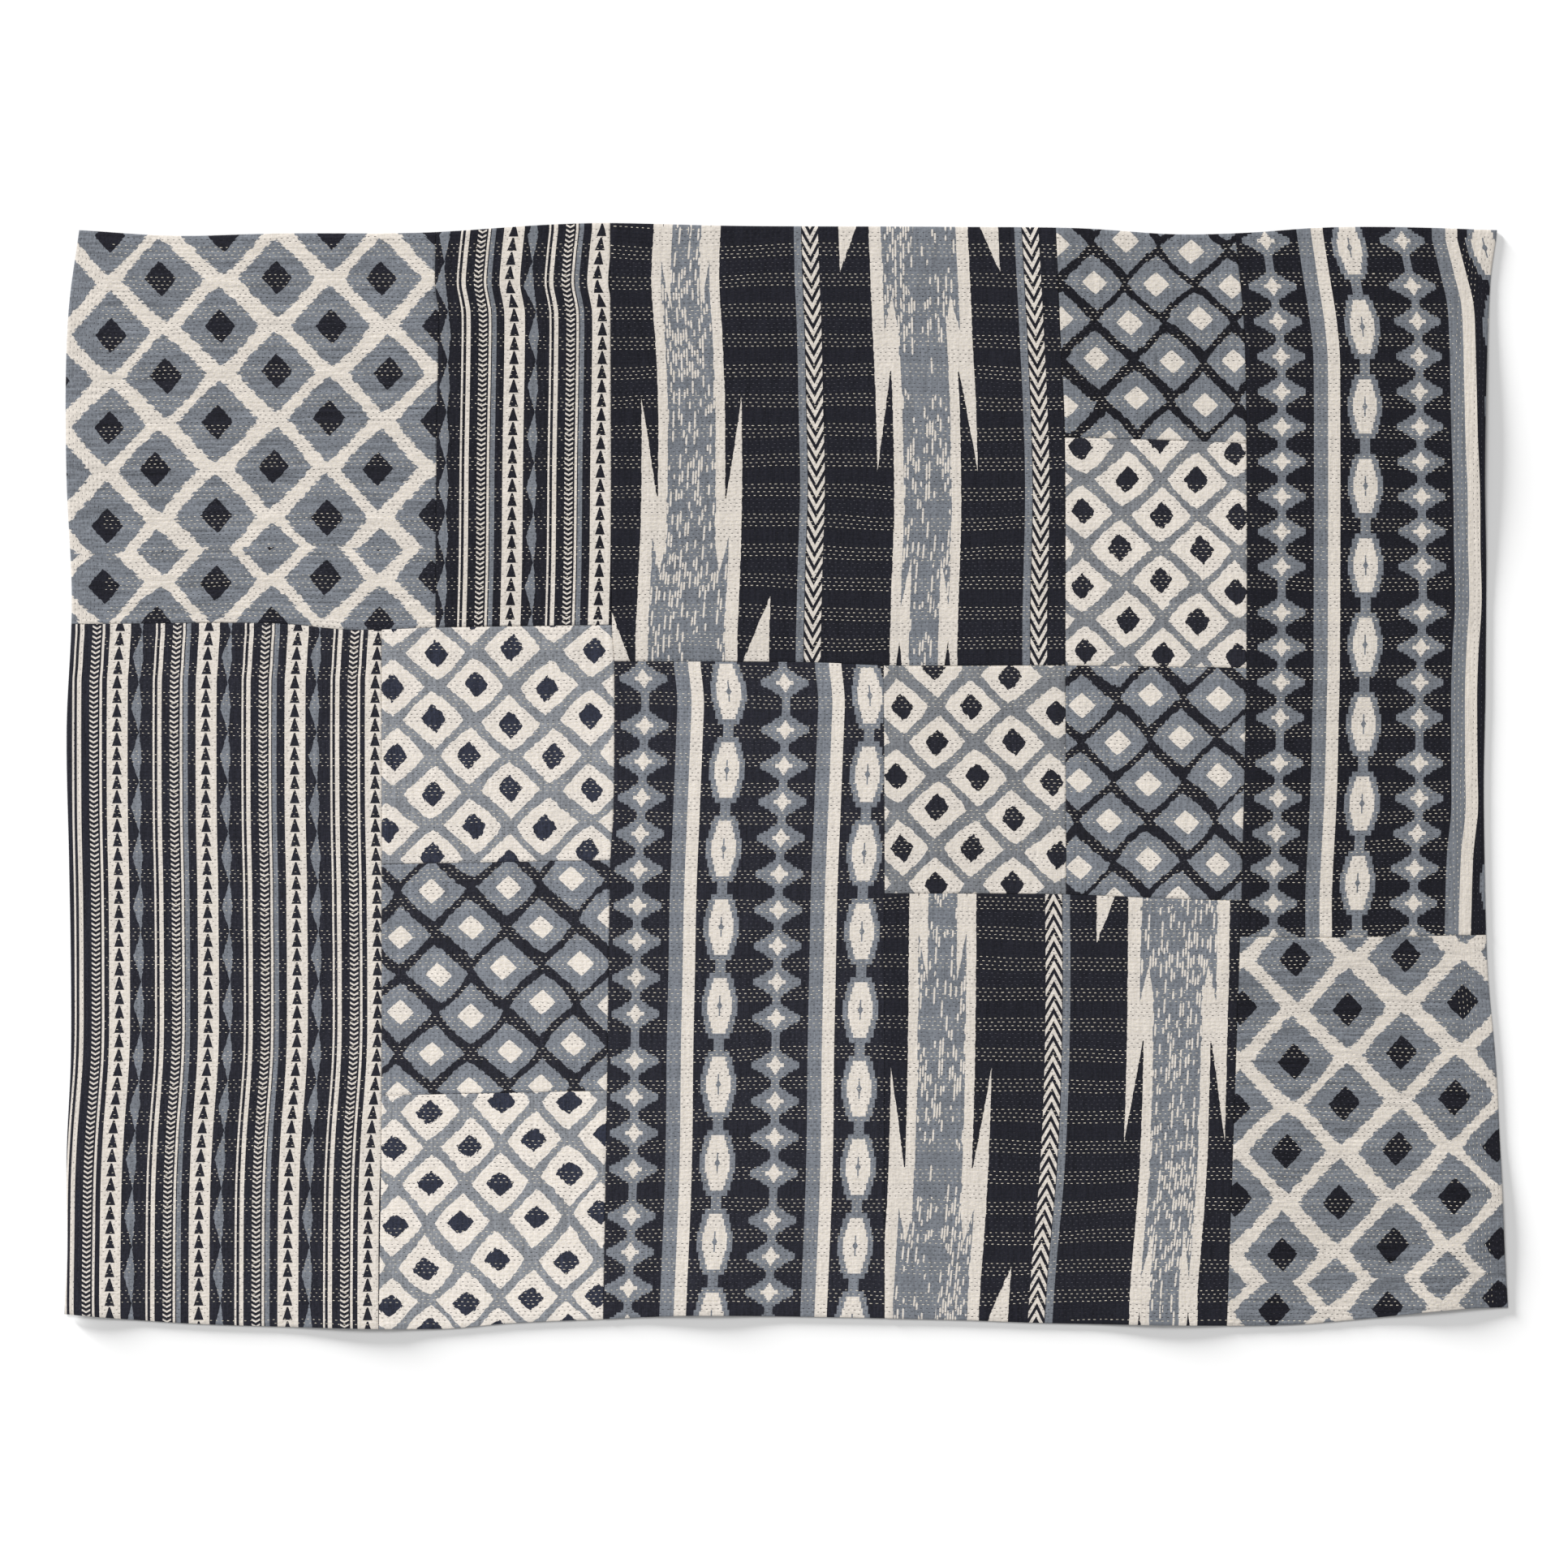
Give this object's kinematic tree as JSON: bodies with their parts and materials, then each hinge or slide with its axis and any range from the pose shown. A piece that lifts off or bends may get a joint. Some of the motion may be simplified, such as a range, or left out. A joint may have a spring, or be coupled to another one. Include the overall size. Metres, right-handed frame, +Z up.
{
  "type": "kantha quilt",
  "caption": "Kantha quilt: a thin quilted patchwork cloth of printed cotton, spread out flat, with turned-in edges.",
  "frame": {"origin": "middle of the quilt's box, on the surface that it lies on", "axes": "+X along the long side, +Y towards the edge at the top of the picture, +Z up out of the printed face"},
  "size_m": [1.72, 1.3176, 0.0074],
  "materials": {
    "printed_cotton": "matt block-printed cotton in navy, grey-blue and cream, sewn through with cream and dark running stitch"
  },
  "bodies": {
    "root": {"quilt": "printed_cotton"}
  },
  "joints": []
}
